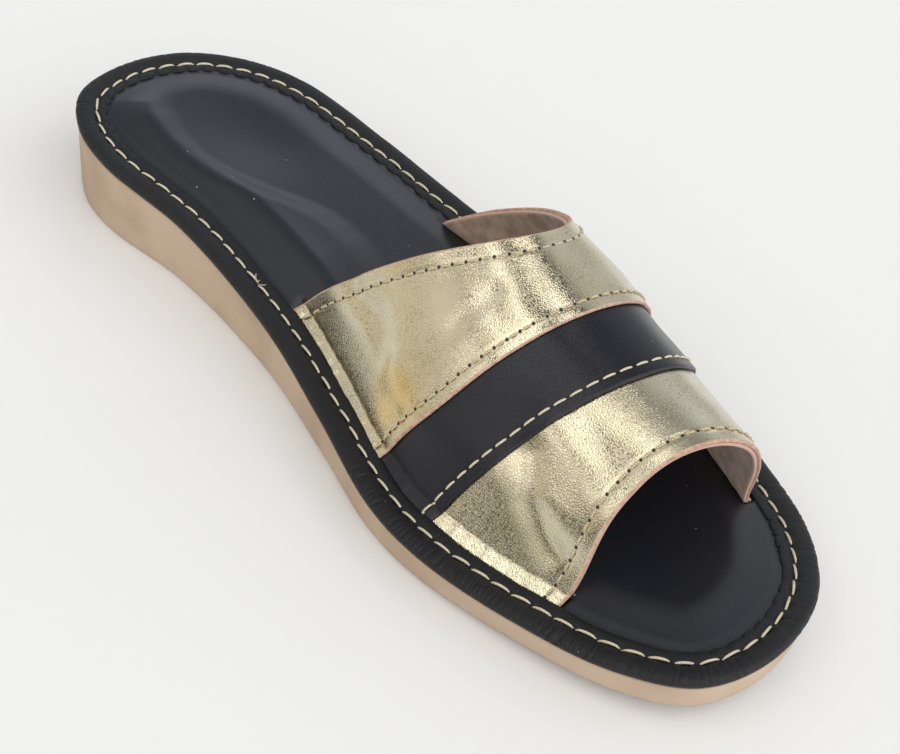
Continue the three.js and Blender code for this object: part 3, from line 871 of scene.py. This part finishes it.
lining_points, lining_faces, lining_raw, _, _ = wall(
    lambda u: edge_along("rear", u), lambda u: edge_along("front", u),
    lambda back, front: 0 * back, lambda back, front: lining_outer + 0 * back, 110, arch_shares(200), 0.15,
)
lining = add_piece("suede_lining", lining_points, lining_faces, suede, values={"raw": lining_raw})

# The front band is gold foiled leather, glued and stitched to the lining along the toe opening. Its
# front edge is raw, and its back edge lies under the middle band.
gold_color = (0.72, 0.66, 0.50, 1)
gold_shade = (0.64, 0.575, 0.41, 1)
# The gold thread's darker colour is painted shade between its strands
gold_thread_color = (0.62, 0.53, 0.35, 1)
gold_thread_painted_shade = (0.34, 0.27, 0.16, 1)
hole_radius = 0.48
crackle_depth = 0.45
# Painted shade: the needle holes are coloured dark, and the foil is left off there
hole_painted_shade_color = (0.035, 0.022, 0.012, 1)
crackle_color = (0.16, 0.13, 0.085, 1)
# Painted reflection: a warm colour laid on the gold round one place
painted_reflection_color = (0.78, 0.56, 0.2, 1)
painted_reflection_place = (0.0212, -0.0398, 0.0262)
gold_pitch = 3.65
gold_stitch = {"radius": 0.36, "lift": 0.3, "sink": 0.4, "gap": 0.42}
glue = 0.05
front_lap = 9.0
gold_hole_dip = 5.0
gold_row_dip = 6.0
band_steps = arch_shares(280)
front_row_inset = 3.9


def stitch_row(name, inset, distance, pitch):
    """A row of stitches that runs beside a band's edge: the row's line on the face that lies off the
    last by the distance, its run, and how a step along x counts along and across the row."""
    u = np.linspace(0.004, 0.996, 900)
    edge = edge_along(name, u)
    ahead = upper_face(edge + 0.5, u, distance) - upper_face(edge - 0.5, u, distance)
    line = upper_face(edge, u, distance)
    tangent = np.gradient(line, axis=0)
    tangent /= np.linalg.norm(tangent, axis=1)[:, None]
    along_share = np.einsum("ij,ij->i", ahead, tangent)
    across_share = np.linalg.norm(ahead - along_share[:, None] * tangent, axis=1)
    x = edge - inset / across_share
    line = upper_face(x, u, distance)
    run = np.concatenate([[0], np.cumsum(np.linalg.norm(np.diff(line, axis=0), axis=1))])
    row = {"u": u, "x": x, "run": run, "skew": along_share, "square": across_share}
    return row | {"pitch": pitch, "distance": distance}


def row_map(row, x, u):
    """Map of a face beside a row, in millimetres along the row and across it."""
    step = x - np.interp(u, row["u"], row["x"])
    run = np.interp(u, row["u"], row["run"]) + step * np.interp(u, row["u"], row["skew"])
    return np.stack([run, step * np.interp(u, row["u"], row["square"])], -1).reshape(-1, 2)


def row_stitches(name, row, material, radius, lift, sink, gap):
    """Lays the stitches of a row between its needle holes."""
    steps = np.arange(int(row["run"][-1] / row["pitch"])) * row["pitch"]
    ends = []
    for place in (steps + gap, steps + row["pitch"] - gap, steps + row["pitch"] / 2):
        u = np.interp(place, row["run"], row["u"])
        x = np.interp(place, row["run"], row["x"])
        ends.append((x, u, upper_face(x, u, row["distance"])))
    x, u, middle = ends[2]
    ahead = upper_face(x + 0.5, u, row["distance"]) - upper_face(x - 0.5, u, row["distance"])
    up = np.cross(ahead, ends[1][2] - ends[0][2])
    up /= np.linalg.norm(up, axis=1)[:, None]
    points, faces, twist = stitch_points(ends[0][2], ends[1][2], up, radius, lift, sink)
    return add_piece(name, points, faces, material, maps={"twist": twist})


# Needle holes: round dots at every pitch along a row's map, which the finishes paint dark as shade in the
# holes, and a soft groove along the row
holes, holes_in, holes_out = new_effect(
    "needle_holes",
    [("Map", "NodeSocketVector", None), ("Pitch", "NodeSocketFloat", 4.0), ("Radius", "NodeSocketFloat", 0.4)],
    [("Mask", "NodeSocketFloat"), ("Groove", "NodeSocketFloat")],
)
holes_split = add_node(holes, "ShaderNodeSeparateXYZ", {0: holes_in.outputs["Map"]})
holes_half = combine(holes, "MULTIPLY", holes_in.outputs["Pitch"], 0.5)
holes_nearest = combine(holes, "PINGPONG", holes_split.outputs[0], holes_half)
holes_far = combine(
    holes, "SQRT",
    combine(
        holes, "ADD", combine(holes, "MULTIPLY", holes_nearest, holes_nearest),
        combine(holes, "MULTIPLY", holes_split.outputs[1], holes_split.outputs[1]),
    ),
)
holes_share = combine(holes, "DIVIDE", holes_far, holes_in.outputs["Radius"])
holes.links.new(combine(holes, "SUBTRACT", 1.0, ramp(holes, holes_share, 0.7, 1.25)), holes_out.inputs["Mask"])
holes_aside = combine(holes, "ABSOLUTE", holes_split.outputs[1])
holes.links.new(combine(holes, "SUBTRACT", 1.0, ramp(holes, holes_aside, 0.1, 1.5)), holes_out.inputs["Groove"])


def hole_mask(tree, map_name, pitch, radius):
    """Outputs of the needle holes placed in a material: the holes, and the groove that the row pulls."""
    row = add_node(tree, "ShaderNodeUVMap", uv_map=map_name).outputs[0]
    made = add_node(tree, "ShaderNodeGroup", {"Map": row, "Pitch": pitch, "Radius": radius}, node_tree=holes)
    return made.outputs["Mask"], made.outputs["Groove"]


def gold_finish(name, rows):
    """Foiled leather: a metal skin with a fine crackle, softly clouded, turned warm in one patch as a painted
    reflection, raw and matt along its edges, and bare, matt and painted dark as shade in its needle holes."""
    material, tree, shader = new_finish(name)
    place = object_place(tree)
    cloud = ramp(tree, mottle_value(tree, place, 90.0, 4.0), 0.3, 0.7)
    skin = mix_color(tree, cloud, gold_color, gold_shade)
    # Painted reflection: near one place the gold is mixed towards a warm colour, with a ragged rim
    painted_reflection_away = add_node(tree, "ShaderNodeVectorMath", {0: place, 1: painted_reflection_place}, operation="DISTANCE")
    painted_reflection_ragged = combine(tree, "MULTIPLY", mottle_value(tree, place, 120.0), 0.008)
    from_painted_reflection = combine(tree, "ADD", painted_reflection_away.outputs["Value"], painted_reflection_ragged)
    skin = mix_color(tree, ramp(tree, from_painted_reflection, 0.02, 0.008), skin, painted_reflection_color)
    pebbles, lines = grain_maps(tree, place, 1500.0, 0.2)
    crackle = ramp(tree, mottle_value(tree, place, 60.0, 2.0), 0.3, 0.62)
    crackle = combine(tree, "MULTIPLY", combine(tree, "MULTIPLY", lines, crackle), crackle_depth)
    skin = mix_color(tree, crackle, skin, crackle_color)
    raw = add_node(tree, "ShaderNodeAttribute", attribute_name="raw").outputs["Fac"]
    edge = mix_color(tree, ramp(tree, mottle_value(tree, place, 800.0), 0.4, 0.65), raw_color, raw_shade)
    skin = mix_color(tree, raw, skin, edge)
    pierced, groove = hole_mask(tree, rows[0][0], rows[0][1], hole_radius)
    for map_name, pitch in rows[1:]:
        more, pulled = hole_mask(tree, map_name, pitch, hole_radius)
        pierced = combine(tree, "MAXIMUM", pierced, more)
        groove = combine(tree, "MAXIMUM", groove, pulled)
    tree.links.new(mix_color(tree, pierced, skin, hole_painted_shade_color), shader.inputs["Base Color"])
    bare = combine(tree, "MAXIMUM", raw, pierced)
    tree.links.new(combine(tree, "SUBTRACT", 1.0, bare), shader.inputs["Metallic"])
    matt = combine(tree, "MULTIPLY", bare, 0.85)
    sheen = combine(tree, "MAXIMUM", wander(tree, place, 240.0, 0.14, 0.21), matt)
    tree.links.new(sheen, shader.inputs["Roughness"])
    hole_dip = combine(tree, "MULTIPLY", pierced, gold_hole_dip)
    pulled = combine(tree, "ADD", hole_dip, combine(tree, "MULTIPLY", groove, gold_row_dip))
    add_bump(tree, shader, combine(tree, "SUBTRACT", pebbles, pulled), 0.2, 0.0001)
    return material


gold_thread = thread_finish("gold_thread", gold_thread_color, gold_thread_painted_shade)
front_outer = 2.0
front_row = stitch_row("front", front_row_inset, front_outer, gold_pitch)
front_gold = gold_finish("front_gold", [("front_row", gold_pitch)])
points, faces, raw, x, u = wall(
    lambda u: edge_along("middle_band_front", u) - front_lap, lambda u: edge_along("front", u),
    lambda back, front: lining_outer + glue + 0 * back, lambda back, front: front_outer + 0 * back,
    70, band_steps,
)
add_piece(
    "front_gold_band", points, faces, front_gold,
    maps={"front_row": row_map(front_row, x, u)}, values={"raw": raw},
)
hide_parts("upper")
row_stitches("front_stitches", front_row, gold_thread, **gold_stitch)

# The middle band is smooth black leather with a blue cast. It laps over the front band, where cream
# thread holds it, and its edges are dyed dark.
middle_inner = 2.05
middle_outer = 3.05
middle_row_inset = 2.9
middle_pitch = 4.3
middle_color = (0.0065, 0.0070, 0.0125, 1)
middle_hole_painted_shade_color = (0.002, 0.002, 0.002, 1)
middle_stitch = {"radius": 0.32, "lift": 0.28, "sink": 0.3, "gap": 0.3}
middle_lap = 8.0
middle_hole_dip = 3.0
middle_row = stitch_row("middle_band_front", middle_row_inset, middle_outer, middle_pitch)
smooth_black, smooth_tree, smooth_shader = new_finish("middle_leather", Specular_IOR_Level=0.42)
smooth_place = object_place(smooth_tree)
smooth_pierced, smooth_groove = hole_mask(smooth_tree, "middle_row", middle_pitch, hole_radius)
smooth_base = dusty_color(smooth_tree, smooth_place, middle_color, 300.0, 0.94, 0.4)
# Painted shade: the needle holes are coloured darker than the leather
smooth_base = mix_color(smooth_tree, smooth_pierced, smooth_base, middle_hole_painted_shade_color)
smooth_tree.links.new(smooth_base, smooth_shader.inputs["Base Color"])
smooth_tree.links.new(wander(smooth_tree, smooth_place, 120.0, 0.25, 0.34), smooth_shader.inputs["Roughness"])
smooth_dip = combine(smooth_tree, "MULTIPLY", smooth_pierced, middle_hole_dip)
smooth_pulled = combine(smooth_tree, "ADD", smooth_dip, smooth_groove)
smooth_grain = grain_maps(smooth_tree, smooth_place, 1300.0, 0.7)[0]
smooth_relief = combine(smooth_tree, "SUBTRACT", smooth_grain, smooth_pulled)
add_bump(smooth_tree, smooth_shader, smooth_relief, 0.14, 0.0002)
points, faces, _, x, u = wall(
    lambda u: edge_along("rear_band_front", u) - middle_lap, lambda u: edge_along("middle_band_front", u),
    lambda back, front: middle_inner + 0 * back, lambda back, front: middle_outer + 0 * back, 44, band_steps,
)
middle_band = add_piece(
    "middle_black_band", points, faces, smooth_black,
    maps={"middle_row": row_map(middle_row, x, u)},
)
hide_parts("middle_band")
row_stitches("middle_stitches", middle_row, cream_thread, **middle_stitch)
knot_u = np.array([0.006, 0.02, 0.994])
knot_root = upper_face(np.interp(knot_u, middle_row["u"], middle_row["x"]), knot_u, middle_outer)
knot_points, knot_faces, knot_map = stitch_points(
    knot_root, knot_root + (0.7, 0.0, 0.5), np.tile((0.0, 0.0, 1.0), (3, 1)), 0.42, 0.15, 0.0
)
add_piece("thread_knots", knot_points, knot_faces, cream_thread, maps={"twist": knot_map})

# The rear band is gold foiled leather like the front one. It laps over the middle band, and has a row
# of stitches beside each of its raw edges.
rear_inner = 0.95
rear_outer = 3.05
rear_edge_outer = 2.2
lap_width = 8.0
lap_run = 18.0
lap_lift = 1.1
under_reach = 2.0
under_run = 10.0
back_row_lift = 0.12
rear_front_inset = 3.0
rear_back_inset = 3.9
rear_swell = 22.0


def rear_lift(front):
    """Lift of the rear band over the middle band, by the distance to its front edge."""
    return lap_lift * (1 - soft_step((front - lap_width - clearance) / lap_run))


def rear_face(back, front):
    """Distance of the rear band's face off the last: thin at its back edge, lifted at its lap."""
    return rear_edge_outer + (rear_outer - rear_edge_outer) * soft_step(back / rear_swell) + rear_lift(front)


def rear_under(back, front):
    """Distance of the rear band's underside off the last."""
    over_lap = 1 - soft_step((front - lap_width - under_reach) / under_run)
    return rear_inner + (middle_outer + glue - rear_inner) * over_lap


rear_front_row = stitch_row("rear_band_front", rear_front_inset, rear_outer + lap_lift, gold_pitch)
rear_back_row = stitch_row("rear", -rear_back_inset, rear_edge_outer + back_row_lift, gold_pitch)
rear_gold = gold_finish("rear_gold", [("front_row", gold_pitch), ("back_row", gold_pitch)])
points, faces, raw, x, u = wall(
    lambda u: edge_along("rear", u), lambda u: edge_along("rear_band_front", u), rear_under, rear_face,
    84, band_steps,
)
rear_band = add_piece(
    "rear_gold_band", points, faces, rear_gold,
    maps={"front_row": row_map(rear_front_row, x, u), "back_row": row_map(rear_back_row, x, u)},
    values={"raw": raw},
)
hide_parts("rear_band")
row_stitches("rear_front_stitches", rear_front_row, gold_thread, **gold_stitch)
row_stitches("rear_back_stitches", rear_back_row, gold_thread, **gold_stitch)

# The floor is a plain pale sheet. The light is that of a tent with long panels beside each other over the
# shoe, brightest on the toe's side, with dark gaps between them.
floor_size = 3.0
floor_mesh = bpy.data.meshes.new("floor")
floor_corners = [(x * floor_size, y * floor_size, 0) for x, y in ((-1, -1), (1, -1), (1, 1), (-1, 1))]
floor_mesh.from_pydata(floor_corners, [], [(0, 1, 2, 3)])
floor_paint, _, _ = new_finish("floor_paint", Base_Color=(0.82, 0.82, 0.81, 1), Roughness=0.7)
floor_mesh.materials.append(floor_paint)
floor = bpy.data.objects.new("floor", floor_mesh)
bpy.context.scene.collection.objects.link(floor)

# The tent's brightness by the angle over the shoe, as shares of the way from its outer to its inner side:
# what the front band mirrors, what the rear band mirrors, and what lies behind the heel
bright_panel = (2.1, 2.05, 1.94)
low_tent = [
    (0.0, (0.6, 0.61, 0.62)),
    (0.25, (0.66, 0.7, 0.76)),
    (0.38, (0.58, 0.58, 0.58)),
    (0.46, (0.34, 0.34, 0.33)),
    (0.54, (0.4, 0.39, 0.38)),
    (0.6, (1.2, 1.18, 1.14)),
    (0.64, bright_panel),
    (0.72, bright_panel),
    (0.735, (0.04, 0.04, 0.035)),
    (0.79, (0.04, 0.04, 0.035)),
    (0.81, (2.0, 1.95, 1.85)),
    (0.88, (1.5, 1.47, 1.4)),
    (0.93, (0.08, 0.07, 0.05)),
    (1.0, (0.1, 0.09, 0.06)),
]
high_tent = [
    (0.0, (0.66, 0.67, 0.68)),
    (0.25, (0.68, 0.69, 0.7)),
    (0.39, (0.6, 0.6, 0.6)),
    (0.415, (0.03, 0.03, 0.03)),
    (0.47, (0.03, 0.03, 0.03)),
    (0.49, bright_panel),
    (0.55, bright_panel),
    (0.565, (0.03, 0.03, 0.025)),
    (0.65, (0.03, 0.03, 0.025)),
    (0.68, bright_panel),
    (0.77, (1.9, 1.86, 1.76)),
    (0.82, (0.75, 0.73, 0.68)),
    (0.9, (0.7, 0.68, 0.62)),
    (0.95, (0.2, 0.19, 0.16)),
    (1.0, (0.1, 0.09, 0.07)),
]
heel_tent = [
    (0.0, (0.5, 0.52, 0.56)),
    (0.09, (0.8, 0.84, 0.92)),
    (0.13, (1.25, 1.31, 1.42)),
    (0.19, (1.25, 1.31, 1.42)),
    (0.235, (0.76, 0.8, 0.88)),
    (0.28, (0.66, 0.7, 0.78)),
    (0.34, (0.36, 0.38, 0.43)),
    (0.5, (0.34, 0.34, 0.34)),
    (0.62, (0.7, 0.69, 0.65)),
    (0.9, (0.86, 0.83, 0.76)),
    (0.94, (0.74, 0.69, 0.56)),
    (1.0, (0.7, 0.58, 0.34)),
]
front_color = (1.75, 1.76, 1.8, 1)
world = bpy.data.worlds.new("tent")
world.use_nodes = True
bpy.context.scene.world = world
tent = world.node_tree
tent_from = add_node(tent, "ShaderNodeTexCoord").outputs["Generated"]
tent_way = add_node(tent, "ShaderNodeSeparateXYZ", {0: tent_from})
tent_turn = combine(tent, "ARCTAN2", tent_way.outputs[2], tent_way.outputs[1])
tent_angle = combine(tent, "MULTIPLY", tent_turn, 1 / math.pi)


def tent_panels(rows):
    """Output with the colour of the panels at each share of the angle."""
    made = add_node(tent, "ShaderNodeValToRGB", {0: tent_angle})
    stops = made.color_ramp.elements
    stops.remove(stops[1])
    stops[0].position = rows[0][0]
    stops[0].color = (*rows[0][1], 1)
    for share, color in rows[1:]:
        stops.new(share).color = (*color, 1)
    return made.outputs[0]


tent_over = ramp(tent, tent_way.outputs[0], -0.29, -0.21)
tent_color = mix_color(tent, tent_over, tent_panels(low_tent), tent_panels(high_tent))
tent_behind = ramp(tent, tent_way.outputs[0], -0.38, -0.5)
tent_color = mix_color(tent, tent_behind, tent_color, tent_panels(heel_tent))
tent_color = mix_color(tent, ramp(tent, tent_way.outputs[0], 0.15, 0.45), tent_color, front_color)
tent.links.new(tent_color, tent.nodes["Background"].inputs["Color"])
bpy.context.scene.view_settings.view_transform = "Standard"
